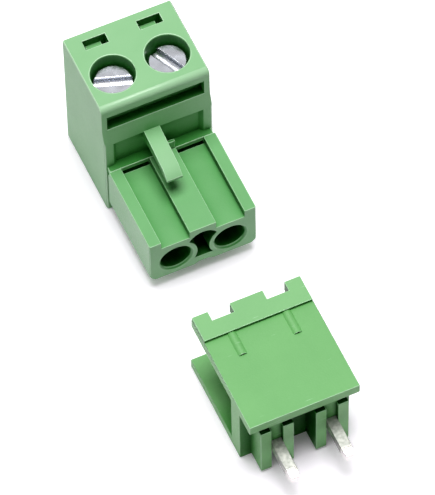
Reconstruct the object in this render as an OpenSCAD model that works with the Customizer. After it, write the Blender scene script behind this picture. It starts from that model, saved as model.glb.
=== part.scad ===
// Two-pole pluggable terminal block: a screw-clamp plug and the pin header it plugs into.
// The plug stands on its screw block, the header lies on its bottom wall in line with it, mouth to nose.
// X runs across the poles, Y along the mating direction (wires enter from +Y), Z up from the table.

/* [Poles] */
// Distance between the two pole axes, which is also the width of one pole cell
pitch = 5.08; // [4.4:0.02:7.62]
// Plastic left between the two clamp chambers
pole_wall = 0.98; // [0.8:0.02:1.1]

/* [Screw block] */
// Height of the screw block
block_h = 14.4; // [13.4:0.1:18]
// Depth of the screw block from its front face to the wire side
block_d = 8.6; // [8:0.1:12]
// Thickness of the bottom under the clamp chambers
bottom_wall = 0.75; // [0.6:0.05:1]
// Front wall between the nose opening and the clamp chambers
front_wall = 1.1; // [0.9:0.05:1.4]
// Setback of the upper front face behind the lower one
upper_setback = 0.42; // [0.2:0.02:0.6]
// Height of the sloped band between the lower and upper front faces
band_h = 1.65; // [1:0.05:1.8]
// Rounding of the top front edge
top_round = 0.55; // [0.2:0.05:0.8]
// Bevel on the outer edges of the block
edge_bevel = 0.12; // [0.05:0.01:0.25]
// Depth of the shallow recess that the header's mouth faces
recess_d = 0.35; // [0.2:0.05:0.6]
// Width of the plain cheek left at each end of the recess
cheek_w = 0.85; // [0.5:0.05:1.2]
// Thickness of the ledge over the nose opening
ledge_t = 0.5; // [0.35:0.05:0.8]
// How far the ledge stands out of the front face
ledge_d = 0.58; // [0.3:0.02:0.9]
// Wall left at each end of the nose opening
end_wall = 0.55; // [0.45:0.05:0.7]
// Chamfer at the mouth of each screw well
well_rim = 0.06; // [0.04:0.02:0.2]
// Width of the stub on the ledge beside the latch finger
stub_w = 0.85; // [0.5:0.05:1.1]
// Height of the stub over the ledge
stub_h = 1.06; // [0.3:0.02:1.2]
// Thickness of the stub
stub_t = 0.28; // [0.2:0.02:0.4]

/* [Marker slot] */
// Height of the marker slot in the upper front face
marker_h = 1.8; // [1:0.05:2.2]
// Plastic left above the marker slot
marker_drop = 1.3; // [0.9:0.05:1.8]
// Plastic left at each end of the marker slot
marker_end = 0.55; // [0.4:0.05:1.2]
// Plastic left between the marker slot and the screw wells
marker_wall = 0.35; // [0.25:0.05:0.6]
// Plastic left between the marker slot and the sloped band
marker_lip = 0.06; // [0.04:0.01:0.12]

/* [Test pockets] */
// Width of the blind test pocket behind each screw
pocket_w = 2.13; // [1:0.01:3]
// Length of the test pocket along the block's depth
pocket_l = 0.95; // [0.5:0.05:1.2]
// Depth of the test pocket
pocket_depth = 1.6; // [1.1:0.05:2]
// Width of the land that stands in the pocket
land_w = 1.45; // [0.6:0.05:1.6]
// Sideways place of the land's middle in the pocket
land_x = -0.07; // [-0.1:0.01:0.1]
// Depth of the land's top below the top of the block
land_drop = 0.93; // [0.6:0.01:1]
// Plastic left between the test pocket and the wire side
pocket_back = 0.83; // [0.5:0.01:1.2]

/* [Clamp screw] */
// Outside diameter of the screw's thread
screw_d = 2.9; // [2.4:0.1:3]
// Diameter of the slotted cheese head
head_d = 3.5; // [3.2:0.1:3.9]
// Height of the head
head_h = 1.55; // [1.2:0.05:1.9]
// Depth of the head's top below the top of the block
head_sink = 1.1; // [0.5:0.05:1.5]
// Width of the driver slot
driver_w = 0.9; // [0.6:0.05:1.1]
// Depth of the driver slot
driver_depth = 0.8; // [0.5:0.05:1]
// Radius of the driver slot's hollow floor
driver_r = 0.7; // [0.6:0.05:1.2]
// Turn of the left screw's driver slot from the X axis
slot_turn_left = -19; // [-90:1:90]
// Turn of the right screw's driver slot from the X axis
slot_turn_right = -65; // [-90:1:90]
// Thickness of the shoulder under the head
shoulder_t = 1.5; // [1:0.1:1.9]
// Chamfer round the top of the head
head_bevel = 0.14; // [0.08:0.02:0.25]
// Chamfer at the screw's end
tip_bevel = 0.3; // [0.15:0.05:0.4]

/* [Clamp cage] */
// Sheet thickness of the cage's sides and floor
cage_wall = 0.5; // [0.4:0.02:0.54]
// Thickness of the tapped top of the cage
cage_top = 1.15; // [0.9:0.05:1.4]
// Length of the cage along the wire
cage_d = 4.4; // [4:0.1:5]
// Outer corner radius of the bent cage
cage_r = 0.55; // [0.3:0.05:0.8]
// Height of the open clamp between the cage floor and the current bar
wire_gap = 2.65; // [2.2:0.05:2.8]
// Depth of the grooves across the cage floor that grip the wire
tooth = 0.16; // [0.08:0.02:0.22]

/* [Contact] */
// Thickness of the current bar
bar_t = 0.6; // [0.4:0.05:0.8]
// Length of the bar's tail held in the block's back wall
bar_tail = 0.6; // [0.4:0.05:0.8]
// Thickness of the spring leaves
leaf_t = 0.28; // [0.2:0.02:0.36]
// Height of the spring leaves
leaf_h = 1.2; // [0.9:0.05:1.4]
// Distance of the leaves' front ends from the nose front
leaf_recess = 1.9; // [1.2:0.1:2.5]
// Length of the flared front ends of the leaves
flare_len = 1.1; // [0.8:0.1:1.5]
// Length over which the leaves close on the pin
close_len = 2.9; // [2:0.1:3.2]

/* [Wire entry] */
// Diameter of the wire entry
wire_d = 2.4; // [1.8:0.1:2.5]
// Diameter of the funnel at the wire side
funnel_d = 3.8; // [2.8:0.1:3.9]
// Depth of the funnel
funnel_depth = 1.1; // [0.6:0.1:1.4]

/* [Nose] */
// Length of the nose in front of the block
nose_len = 9.13; // [8.6:0.01:11]
// Inset of the nose's sides from the block's sides
nose_inset = 0.08; // [0.04:0.01:0.15]
// Width of the groove between the block and the nose's sides
seam_w = 0.36; // [0.2:0.02:0.5]
// Diameter of the contact sockets
socket_d = 2.82; // [2.5:0.02:3.1]
// Thickness of the ring round each socket
ring_wall = 0.59; // [0.45:0.02:0.7]
// Plastic between a socket and the channel over it
plate_t = 0.89; // [0.6:0.01:1.1]
// Height of the guide rails over the channels
rail_h = 0.85; // [0.5:0.05:1]
// Width of the two side rails
side_rail_w = 1.1; // [0.8:0.05:1.4]
// Width of the centre rail
mid_rail_w = 2.5; // [1.9:0.1:2.8]
// Bevel on the nose's lower outer edges
nose_bevel = 0.45; // [0.2:0.05:0.6]
// Chamfer round each socket's mouth
socket_chamfer = 0.2; // [0.1:0.02:0.3]
// Length of the open slot behind each channel
slot_l = 0.1; // [0.05:0.05:0.8]
// Depth of the hollow between the two socket rings
hollow_depth = 6.5; // [3:0.1:7.5]
// Width of the hollow between the two rings
hollow_w = 2.78; // [2:0.02:3]
// Plastic left over the hollow's arch
arch_t = 0.7; // [0.5:0.05:0.9]
// Plastic left under the hollow
hollow_floor = 1; // [0.6:0.05:1.2]
// Width of the valley under the nose between the two rings
valley_w = 1.8; // [1.2:0.1:2.2]
// Height of the valley
valley_h = 0.22; // [0.1:0.02:0.3]

/* [Latch] */
// Length of the latch finger in front of the block
latch_len = 4.8; // [4.4:0.1:6]
// Width of the latch finger
latch_w = 1.48; // [1:0.02:2]
// Sideways place of the latch finger's middle
latch_x = -0.62; // [-0.8:0.01:0.4]
// Height of the latch finger's root over its catch
latch_t = 1.45; // [1.1:0.05:1.6]
// Fall of the finger's top from its root to the sloped end
latch_fall = 0.58; // [0.4:0.02:0.8]
// Height of the blunt tip
latch_tip = 0.26; // [0.1:0.02:0.3]
// Height of the catch under the finger's end
catch_h = 0.2; // [0.1:0.02:0.3]
// Length of the catch
catch_len = 1.1; // [0.6:0.05:1.4]
// Run of the sloped face at the finger's end
latch_run = 0.86; // [0.6:0.01:1.2]

/* [Header housing] */
// Thickness of the header's top and bottom walls
header_wall = 1; // [0.8:0.05:1.2]
// How far the bottom wall reaches past the mouth
bottom_reach = 0.33; // [0.1:0.01:0.5]
// Depth of the header's cavity
cavity_d = 8.1; // [7.6:0.1:9]
// Thickness of the base that holds the pins
base_t = 1.65; // [1.2:0.05:2.4]
// Length of the standoff feet behind the base
foot_len = 2.1; // [1.5:0.1:3]
// Width of each standoff foot
foot_w = 1; // [0.7:0.05:1.1]
// Clearance between a pin and the feet beside it
foot_gap = 0.03; // [0.02:0.01:0.1]
// Height of the feet's lower edges over the table
foot_lift = 0.25; // [0.1:0.05:0.4]
// Height of the notch at the top of each foot's end
foot_notch_h = 0.8; // [0.3:0.05:0.9]
// Length of the notch along the foot
foot_notch_l = 0.7; // [0.4:0.05:1.2]
// Setback of the web between the feet
web_set = 0.36; // [0.2:0.02:0.6]
// Length of the raised lip at the mouth
lip_len = 2.6; // [2:0.1:2.6]
// Height of the raised lip
lip_h = 0.3; // [0.15:0.05:0.35]
// Width of the notches in the mouth
notch_w = 2; // [1.4:0.05:2.4]
// Depth of the notches in the mouth
notch_d = 0.95; // [0.5:0.05:1.3]
// Width of the coding ribs behind the lip
rib_w = 0.8; // [0.6:0.05:1]
// Length of the coding ribs
rib_len = 2.4; // [1.5:0.1:3]
// Height of the coding ribs
rib_h = 0.16; // [0.08:0.02:0.24]

/* [Header pins] */
// Side of the square pins
pin_w = 1; // [0.8:0.05:1.1]
// Length of the solder pins beyond the feet
solder_len = 3.66; // [2.6:0.02:4]
// Depth of the mating tips inside the mouth
pin_recess = 1.2; // [0.8:0.1:1.8]
// Length of the tapered tips
pin_taper = 0.7; // [0.3:0.05:0.8]
// Side of the square left at the tips
pin_tip = 0.7; // [0.3:0.05:0.75]
// Height of the stop ridge coined on each pin in front of the web
stop_h = 0.1; // [0.05:0.01:0.15]
// Length of the stop ridge
stop_len = 0.25; // [0.15:0.05:0.35]

/* [Fits] */
// Gap at rest between the nose front and the header's mouth
unplugged_gap = 8.82; // [4:0.01:12]
// Clearance between the header's top wall and the nose rails
top_fit = 0.3; // [0.15:0.05:0.35]
// Clearance between the header's bottom wall and the nose
bottom_fit = 0.25; // [0.15:0.05:0.3]
// Clearance between the header's lip and the latch's catch
latch_fit = 0.15; // [0.1:0.01:0.2]
// Clearance between a mated pin and the contact's bar
bar_fit = 0.1; // [0.06:0.01:0.15]
// Clearance between a mated pin and each spring leaf
leaf_fit = 0.03; // [0.02:0.01:0.05]
// Clearance at each side of the bar inside the cage
bar_side_fit = 0.1; // [0.06:0.02:0.16]
// Clearance between the bar and the roof of the lowered cage
bar_top_fit = 0.15; // [0.1:0.01:0.2]
// Clearance of the bar's tail in the block's back wall
seat_fit = 0.04; // [0.02:0.01:0.06]
// Clearance of the bar in the nose's back end
path_fit = 0.05; // [0.03:0.01:0.08]
// Room before and behind the cage in its chamber
chamber_play = 0.3; // [0.15:0.05:0.35]
// Running clearance of the cage in its chamber
cage_fit = 0.05; // [0.03:0.01:0.08]
// Running clearance of the screw in the cage's tapped hole
thread_fit = 0.05; // [0.02:0.01:0.08]
// Play of the screw head over its shoulder
head_play = 0.05; // [0.03:0.01:0.08]
// Clearance of the screw head in its well
well_fit = 0.2; // [0.15:0.05:0.25]
// Clearance of the nose's spigot in the block
spigot_fit = 0.04; // [0.02:0.01:0.06]
// Clearance of a pin in the header's base
pin_fit = 0.01; // [0.005:0.005:0.02]

/* [Hidden] */
$fn = 64;

// Cutters reach this far past the faces they open
over = 1;
// Sides of the poles on the X axis
left = -1;
right = 1;

// Widths across the poles
housing_w = 2 * pitch;
pole_x = pitch / 2;
chamber_w = pitch - pole_wall;
cage_w = chamber_w - 2 * cage_fit;
cage_inner_w = cage_w - 2 * cage_wall;
bar_w = cage_inner_w - 2 * bar_side_fit;
nose_w = housing_w - 2 * nose_inset;
opening_w = housing_w - 2 * end_wall;

// Heights of the clamp, from the table up, with the cage let down
cage_z = bottom_wall + cage_fit;
clamp_z = cage_z + cage_wall;
wire_z = clamp_z + wire_gap / 2;
bar_z = clamp_z + wire_gap;
cage_roof_z = bar_z + bar_t + bar_top_fit;
cage_top_z = cage_roof_z + cage_top;
opening_top_z = cage_top_z + cage_fit;
ledge_z = opening_top_z + ledge_t;

// Heights of the mating face
socket_r = socket_d / 2;
ring_r = socket_r + ring_wall;
socket_z = bar_z - bar_fit - pin_w / 2;
channel_z = socket_z + socket_r + plate_t;
rail_z = channel_z + rail_h;
nose_bottom_z = header_wall + bottom_fit;
header_roof_z = rail_z + top_fit;
header_top_z = header_roof_z + header_wall;
lip_z = header_top_z + lip_h;
catch_z = lip_z + latch_fit;
latch_top_z = catch_z + latch_t;

// Heights of the screw and the upper front face
head_z = block_h - head_sink - head_h;
shoulder_z = head_z - head_play;
chamber_top_z = shoulder_z - shoulder_t;
screw_end_z = cage_roof_z + bar_top_fit / 2;
marker_top_z = block_h - marker_drop;
marker_z = marker_top_z - marker_h;
band_top_z = marker_z - marker_lip;
band_z = band_top_z - band_h;

// Depths of the screw block, from its front face at 0 to the wire side
chamber_y = front_wall;
screw_y = chamber_y + chamber_play + cage_d / 2;
chamber_back_y = screw_y + cage_d / 2 + chamber_play;
well_r = head_d / 2 + well_fit;
// The bar's front end, where a mated pin's tip stops under it
bar_front_y = -nose_len + cavity_d - pin_recess;

// Places along the mating axis, from the plug's front face
nose_front_y = -nose_len;
mouth_y = nose_front_y - unplugged_gap;
base_front_y = mouth_y - cavity_d;
base_back_y = base_front_y - base_t;
foot_end_y = base_back_y - foot_len;
web_front_y = foot_end_y + web_set;
solder_tip_y = foot_end_y - solder_len;
mating_tip_y = mouth_y - pin_recess;
row_middle_y = (block_d + solder_tip_y) / 2;

// Colours as seen: moulded green, zinc-plated steel, tinned contact metal
green = [0.43, 0.72, 0.44];
zinc = [0.78, 0.79, 0.82];
tin = [0.82, 0.82, 0.80];

// Moves the children so that the whole row is centred on the origin
module row() {
    translate([0, -row_middle_y, 0]) children();
}

// Extrudes a (y, z) outline across the poles, from low to high X
module across(low, high) {
    translate([low, 0, 0])
        rotate([90, 0, 90])
            linear_extrude(height = high - low) children();
}

// Extrudes an (x, z) outline along the mating axis, from back to front Y
module along(back, front) {
    translate([0, back, 0])
        rotate([90, 0, 0])
            linear_extrude(height = back - front) children();
}

// Plain box between two corners
module span(low, high) {
    translate(low) cube(high - low);
}

// Rectangle with its four corners cut at 45 degrees
module bevelled_rect(w, h, cut) {
    polygon([
        [-w / 2 + cut, 0], [w / 2 - cut, 0], [w / 2, cut], [w / 2, h - cut],
        [w / 2 - cut, h], [-w / 2 + cut, h], [-w / 2, h - cut], [-w / 2, cut]
    ]);
}

// Rectangle with round corners, centred on its middle
module rounded_rect(w, h, r) {
    square([w - 2 * r, h], center = true);
    square([w, h - 2 * r], center = true);
    for (sx = [-1, 1], sy = [-1, 1])
        translate([sx * (w / 2 - r), sy * (h / 2 - r)]) circle(r = r, $fn = 32);
}

// Points of a quarter arc round a centre, from one angle to the next
function arc(centre, r, from, to, steps = 8) = [
    for (i = [0 : steps])
        let (a = from + (to - from) * i / steps)
            centre + r * [cos(a), sin(a)]
];

// Side outline of the screw block with its set-back upper face and rounded top front edge
module block_side() {
    back_bevel = edge_bevel / 2;
    polygon(concat(
        [[0, 0], [block_d, 0], [block_d, block_h - back_bevel], [block_d - back_bevel, block_h]],
        arc([upper_setback + top_round, block_h - top_round], top_round, 90, 180),
        [[upper_setback, band_top_z], [0, band_z]]
    ));
}

// Side outline of the latch finger, rooted in the block, with its falling top, catch and sloped end
module latch_side() {
    root_y = recess_d + edge_bevel;
    catch_y = -latch_len + catch_len;
    polygon([
        [root_y, latch_top_z],
        [0, latch_top_z],
        [-latch_len + latch_run, latch_top_z - latch_fall],
        [-latch_len, catch_z + latch_tip],
        [-latch_len, catch_z],
        [catch_y, catch_z],
        [catch_y + catch_h, catch_z + catch_h],
        [root_y, catch_z + catch_h]
    ]);
}

// Solid outside of the screw block: three outlines meeting give bevels on every outer edge
module block_shell() {
    intersection() {
        across(-housing_w / 2, housing_w / 2) block_side();
        along(block_d + over, -over) bevelled_rect(housing_w, block_h, edge_bevel);
        translate([0, 0, -over])
            linear_extrude(height = block_h + 2 * over)
                bevelled_rect(housing_w, block_d, edge_bevel);
    }
}

// Ledge over the nose opening and the small stub that stands on it
module ledge() {
    span([-nose_w / 2 + edge_bevel, -ledge_d, opening_top_z],
         [nose_w / 2 - edge_bevel, recess_d + edge_bevel, ledge_z]);
    span([mid_rail_w / 2 - stub_w, -ledge_d, ledge_z - ledge_t / 2],
         [mid_rail_w / 2, -ledge_d + stub_t, ledge_z + stub_h]);
}

// Well, shank hole, clamp chamber, wire entry and bar seat of one pole, as a cutter
module pole_cuts() {
    span([-chamber_w / 2, chamber_y - over, bottom_wall],
         [chamber_w / 2, chamber_back_y, opening_top_z]);
    span([-chamber_w / 2, chamber_y, bottom_wall],
         [chamber_w / 2, chamber_back_y, chamber_top_z]);
    span([-bar_w / 2 - seat_fit, chamber_back_y - over, bar_z],
         [bar_w / 2 + seat_fit, chamber_back_y + bar_tail + seat_fit, bar_z + bar_t + seat_fit]);
    translate([0, screw_y, shoulder_z])
        cylinder(r = well_r, h = block_h);
    translate([0, screw_y, block_h - well_rim])
        cylinder(r1 = well_r, r2 = well_r + well_rim, h = well_rim);
    translate([0, screw_y, chamber_top_z - over])
        cylinder(d = screw_d + 2 * well_fit, h = shoulder_t + 2 * over);
    translate([0, block_d + over, wire_z])
        rotate([90, 0, 0]) cylinder(d = wire_d, h = block_d + over - chamber_back_y + over);
    translate([0, block_d, wire_z])
        rotate([90, 0, 0]) cylinder(d1 = funnel_d, d2 = wire_d, h = funnel_depth);
    test_pocket();
}

// Blind pocket behind one screw with a low land in it, as a cutter
module test_pocket() {
    back_y = block_d - pocket_back;
    front_y = back_y - pocket_l;
    difference() {
        span([-pocket_w / 2, front_y, block_h - pocket_depth],
             [pocket_w / 2, back_y, block_h + over]);
        span([land_x - land_w / 2, front_y - over, block_h - pocket_depth - over],
             [land_x + land_w / 2, back_y + over, block_h - land_drop]);
    }
}

// Marker slot across the upper front face
module marker_cut() {
    deep_y = screw_y - well_r - marker_wall;
    span([-housing_w / 2 + marker_end, -over, marker_z],
         [housing_w / 2 - marker_end, deep_y, marker_top_z]);
}

// Shallow recess over the ledge, with sloped ends towards the cheeks
module recess_cut() {
    half = housing_w / 2 - cheek_w;
    translate([0, 0, ledge_z])
        linear_extrude(height = band_z - ledge_z)
            polygon([
                [-half, -over], [half, -over], [half, 0],
                [half - recess_d, recess_d], [-half + recess_d, recess_d], [-half, 0]
            ]);
}

// Screw block of the plug
module plug_block() {
    color(green) row() {
        difference() {
            union() {
                difference() {
                    block_shell();
                    recess_cut();
                }
                ledge();
                across(latch_x - latch_w / 2, latch_x + latch_w / 2) latch_side();
            }
            for (side = [left, right])
                translate([side * pole_x, 0, 0]) pole_cuts();
            span([-opening_w / 2, -over, bottom_wall],
                 [opening_w / 2, front_wall, opening_top_z]);
            marker_cut();
        }
    }
}

// Front outline of the nose: rails, channels, bevelled lower edges and the valley between the rings
module nose_face() {
    half = nose_w / 2;
    polygon([
        [-half + nose_bevel, nose_bottom_z],
        [-valley_w / 2, nose_bottom_z],
        [-valley_w / 4, nose_bottom_z + valley_h],
        [valley_w / 4, nose_bottom_z + valley_h],
        [valley_w / 2, nose_bottom_z],
        [half - nose_bevel, nose_bottom_z],
        [half, nose_bottom_z + nose_bevel],
        [half, rail_z],
        [half - side_rail_w, rail_z],
        [half - side_rail_w, channel_z],
        [mid_rail_w / 2, channel_z],
        [mid_rail_w / 2, rail_z],
        [-mid_rail_w / 2, rail_z],
        [-mid_rail_w / 2, channel_z],
        [-half + side_rail_w, channel_z],
        [-half + side_rail_w, rail_z],
        [-half, rail_z],
        [-half, nose_bottom_z + nose_bevel]
    ]);
}

// Outline of the hollow between the two rings, under an arch in the centre rail
module ring_hollow() {
    floor_z = nose_bottom_z + hollow_floor;
    arch_r = hollow_w / 2;
    arch_z = rail_z - arch_t - arch_r;
    difference() {
        union() {
            translate([-arch_r, floor_z]) square([hollow_w, arch_z - floor_z]);
            intersection() {
                translate([0, arch_z]) circle(r = arch_r);
                translate([-arch_r, floor_z]) square([hollow_w, rail_z - floor_z]);
            }
        }
        for (side = [left, right])
            translate([side * pole_x, socket_z]) circle(r = ring_r);
    }
}

// Back end of the nose that closes the block's opening and stops against the wall between the chambers
module spigot() {
    half = opening_w / 2 - spigot_fit;
    top_z = opening_top_z - spigot_fit;
    span([-half, -seam_w, bottom_wall + spigot_fit], [half, front_wall, top_z]);
    span([-half, -seam_w - over, nose_bottom_z + nose_bevel], [half, front_wall, channel_z]);
}

// Front half of the plug that carries the contacts: rails and sockets, with a spigot into the block
module plug_nose() {
    back_y = -seam_w;
    slot_floor_z = socket_z + socket_r + plate_t / 3;
    channel_back_y = -ledge_d - spigot_fit - slot_l;
    rail_back_y = -ledge_d - spigot_fit;
    color(green) row() {
        difference() {
            union() {
                intersection() {
                    along(back_y, nose_front_y) nose_face();
                    translate([0, nose_front_y, 0])
                        linear_extrude(height = block_h)
                            bevelled_rect(nose_w, nose_len, edge_bevel);
                }
                spigot();
            }
            span([-housing_w, rail_back_y, opening_top_z - spigot_fit], [housing_w, over, block_h]);
            for (side = [left, right])
                translate([side * pole_x, 0, 0]) {
                    translate([0, front_wall + over, socket_z])
                        rotate([90, 0, 0]) cylinder(r = socket_r, h = nose_len + front_wall + 2 * over);
                    translate([0, nose_front_y + socket_chamfer, socket_z])
                        rotate([90, 0, 0])
                            cylinder(r1 = socket_r, r2 = socket_r + socket_chamfer, h = socket_chamfer);
                    contact_path();
                }
            for (side = [left, right])
                mirror([side == left ? 1 : 0, 0, 0])
                    span([mid_rail_w / 2, channel_back_y, slot_floor_z],
                         [nose_w / 2 - side_rail_w, rail_back_y + over, rail_z + over]);
            translate([0, nose_front_y, 0])
                along(hollow_depth, -over) ring_hollow();
        }
    }
}

// Room for the contact's bar in the nose's back end, as a cutter
module contact_path() {
    span([-bar_w / 2 - path_fit, bar_front_y - path_fit, bar_z - bar_t],
         [bar_w / 2 + path_fit, front_wall + over, bar_z + bar_t + path_fit]);
}

// Slotted cheese-head clamp screw with a plain shank in place of its thread
module clamp_screw(side, turn) {
    head_r = head_d / 2;
    shank_r = screw_d / 2;
    color(zinc) row() translate([side * pole_x, screw_y, 0])
        difference() {
            rotate_extrude()
                polygon([
                    [0, screw_end_z], [shank_r - tip_bevel, screw_end_z],
                    [shank_r, screw_end_z + tip_bevel], [shank_r, head_z],
                    [head_r, head_z], [head_r, head_z + head_h - head_bevel],
                    [head_r - head_bevel, head_z + head_h], [0, head_z + head_h]
                ]);
            rotate([0, 0, turn]) across(-head_d, head_d) driver_outline();
        }
}

// Cross-section of the driver slot, with its hollow floor, as a cutter
module driver_outline() {
    half = driver_w / 2;
    spread = asin(half / driver_r);
    top_z = head_z + head_h;
    polygon(concat(
        arc([0, top_z - driver_depth + driver_r], driver_r, 270 - spread, 270 + spread),
        [[half, top_z + over], [-half, top_z + over]]
    ));
}

// Bent clamp cage with its tapped top; the wire passes through it under the current bar
module clamp_cage(side) {
    height = cage_top_z - cage_z;
    inner_h = cage_roof_z - clamp_z;
    tooth_step = cage_d / 4;
    color(zinc) row() translate([side * pole_x, screw_y, 0])
        difference() {
            along(cage_d / 2, -cage_d / 2)
                translate([0, cage_z + height / 2]) rounded_rect(cage_w, height, cage_r);
            along(cage_d / 2 + over, -cage_d / 2 - over)
                translate([0, clamp_z + inner_h / 2])
                    rounded_rect(cage_inner_w, inner_h, cage_r / 3);
            translate([0, 0, cage_roof_z - over])
                cylinder(d = screw_d + 2 * thread_fit, h = cage_top + 2 * over);
            for (i = [-1, 0, 1])
                across(-cage_inner_w / 2 + cage_r / 3, cage_inner_w / 2 - cage_r / 3)
                    translate([i * tooth_step, clamp_z])
                        polygon([[-tooth, tooth], [0, -tooth], [tooth, tooth]]);
        }
}

// Outline of one spring leaf seen from above: from its root it closes on the pin, then flares
module leaf_outline() {
    grip_x = pin_w / 2 + leaf_fit;
    root_x = sqrt(pow(socket_r, 2) - pow(leaf_h / 2, 2)) - leaf_t - leaf_fit;
    flare_x = grip_x + leaf_t;
    front_y = nose_front_y + leaf_recess;
    grip_y = front_y + flare_len;
    bend_y = grip_y + close_len;
    root_y = front_wall;
    polygon([
        [root_x, root_y], [root_x, bend_y], [grip_x, grip_y], [flare_x, front_y],
        [flare_x + leaf_t, front_y], [grip_x + leaf_t, grip_y],
        [root_x + leaf_t, bend_y], [root_x + leaf_t, root_y]
    ]);
}

// Contact of one pole: the current bar over the wire and two spring leaves folded down for the pin
module contact(side) {
    tail_y = chamber_back_y + bar_tail;
    leaf_z = socket_z - leaf_h / 2;
    color(tin) row() translate([side * pole_x, 0, 0]) {
        span([-bar_w / 2, bar_front_y, bar_z], [bar_w / 2, tail_y, bar_z + bar_t]);
        intersection() {
            union() {
                for (side_x = [0, 1])
                    mirror([side_x, 0, 0])
                        translate([0, 0, leaf_z])
                            linear_extrude(height = bar_z + bar_t - leaf_z) leaf_outline();
            }
            union() {
                span([-bar_w, nose_front_y, leaf_z], [bar_w, bar_front_y, leaf_z + leaf_h]);
                span([-bar_w, bar_front_y, leaf_z], [bar_w, front_wall, bar_z + bar_t]);
            }
        }
    }
}

// Standoff feet and web of one pole, which carry the pin behind the base
module pin_stand() {
    foot_in = pin_w / 2 + foot_gap;
    foot_out = foot_in + foot_w;
    foot_top_z = header_roof_z + edge_bevel;
    for (side = [left, right])
        mirror([side == left ? 1 : 0, 0, 0])
            difference() {
                span([foot_in, foot_end_y, foot_lift], [foot_out, base_back_y + over, foot_top_z]);
                span([foot_in - over, foot_end_y - over, header_roof_z - foot_notch_h],
                     [foot_out + over, foot_end_y + foot_notch_l, header_roof_z]);
            }
    span([-foot_in - edge_bevel, web_front_y, socket_z + pin_w / 2 + pin_fit],
         [foot_in + edge_bevel, base_back_y + over, foot_top_z]);
}

// Rounded coding rib behind the lip of one pole
module coding_rib() {
    rib_r = (rib_w * rib_w / 4 + rib_h * rib_h) / (2 * rib_h);
    intersection() {
        translate([0, mouth_y - lip_len - rib_len, header_top_z + rib_h - rib_r])
            rotate([-90, 0, 0]) cylinder(r = rib_r, h = rib_len + edge_bevel);
        span([-rib_w / 2, mouth_y - lip_len - rib_len, header_top_z - header_wall / 2],
             [rib_w / 2, mouth_y - lip_len + edge_bevel, lip_z]);
    }
}

// Header housing: two walls open at both ends, a base that holds the pins, and feet for the board
module header_housing() {
    bevel = edge_bevel / 2;
    color(green) row() {
        difference() {
            union() {
                translate([0, foot_end_y, header_roof_z])
                    along(mouth_y - foot_end_y, 0) bevelled_rect(housing_w, header_wall, bevel);
                translate([0, base_back_y, 0])
                    along(mouth_y + bottom_reach - base_back_y, 0)
                        bevelled_rect(housing_w, header_wall, bevel);
                span([-housing_w / 2, base_back_y, bevel],
                     [housing_w / 2, base_front_y, header_top_z - bevel]);
                span([-housing_w / 2 + bevel, mouth_y - lip_len, header_top_z - header_wall / 2],
                     [housing_w / 2 - bevel, mouth_y, lip_z]);
                for (side = [left, right])
                    translate([side * pole_x, 0, 0]) {
                        pin_stand();
                        coding_rib();
                    }
            }
            for (side = [left, right])
                translate([side * pole_x, 0, 0]) {
                    span([-notch_w / 2, mouth_y - notch_d, header_roof_z - over],
                         [notch_w / 2, mouth_y + over, lip_z + over]);
                    span([-pin_w / 2 - pin_fit, foot_end_y - over, socket_z - pin_w / 2 - pin_fit],
                         [pin_w / 2 + pin_fit, mouth_y, socket_z + pin_w / 2 + pin_fit]);
                }
        }
    }
}

// Outline of a pin along its length with both tips tapered
module pin_outline() {
    polygon([
        [solder_tip_y, -pin_tip / 2], [solder_tip_y + pin_taper, -pin_w / 2],
        [mating_tip_y - pin_taper, -pin_w / 2], [mating_tip_y, -pin_tip / 2],
        [mating_tip_y, pin_tip / 2], [mating_tip_y - pin_taper, pin_w / 2],
        [solder_tip_y + pin_taper, pin_w / 2], [solder_tip_y, pin_tip / 2]
    ]);
}

// Outline of the ridge on top of a pin that stops it against the web
module stop_outline() {
    back_y = web_front_y - pin_fit;
    top_z = pin_w / 2 + stop_h;
    polygon([
        [back_y - stop_len, 0], [back_y, 0], [back_y, top_z],
        [back_y - stop_len + stop_h, top_z], [back_y - stop_len, pin_w / 2]
    ]);
}

// Straight square pin, pressed through the header's base
module header_pin(side) {
    color(tin) row() translate([side * pole_x, 0, socket_z]) {
        intersection() {
            across(-pin_w / 2, pin_w / 2) pin_outline();
            rotate([0, 90, 0]) across(-pin_w / 2, pin_w / 2) pin_outline();
        }
        across(-pin_w / 2, pin_w / 2) stop_outline();
    }
}

plug_block();
plug_nose();
clamp_screw(left, slot_turn_left);  // clamp_screw_left
clamp_screw(right, slot_turn_right);  // clamp_screw_right
clamp_cage(left);  // clamp_cage_left
clamp_cage(right);  // clamp_cage_right
contact(left);  // contact_left
contact(right);  // contact_right
header_housing();
header_pin(left);  // header_pin_left
header_pin(right);  // header_pin_right
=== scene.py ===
"""Looks of a pluggable terminal block: a screw-clamp plug lying in line with its pin header.

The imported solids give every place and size. Each solid gets a copy with rounded edges, as moulded,
turned and stamped pieces have, the clamp screws get their threads, and every piece gets its finish.
"""

import logging
import math
from dataclasses import dataclass, replace
from enum import Enum, IntEnum

import bmesh
import bpy
from mathutils import Matrix, Vector
from mathutils.bvhtree import BVHTree


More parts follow.
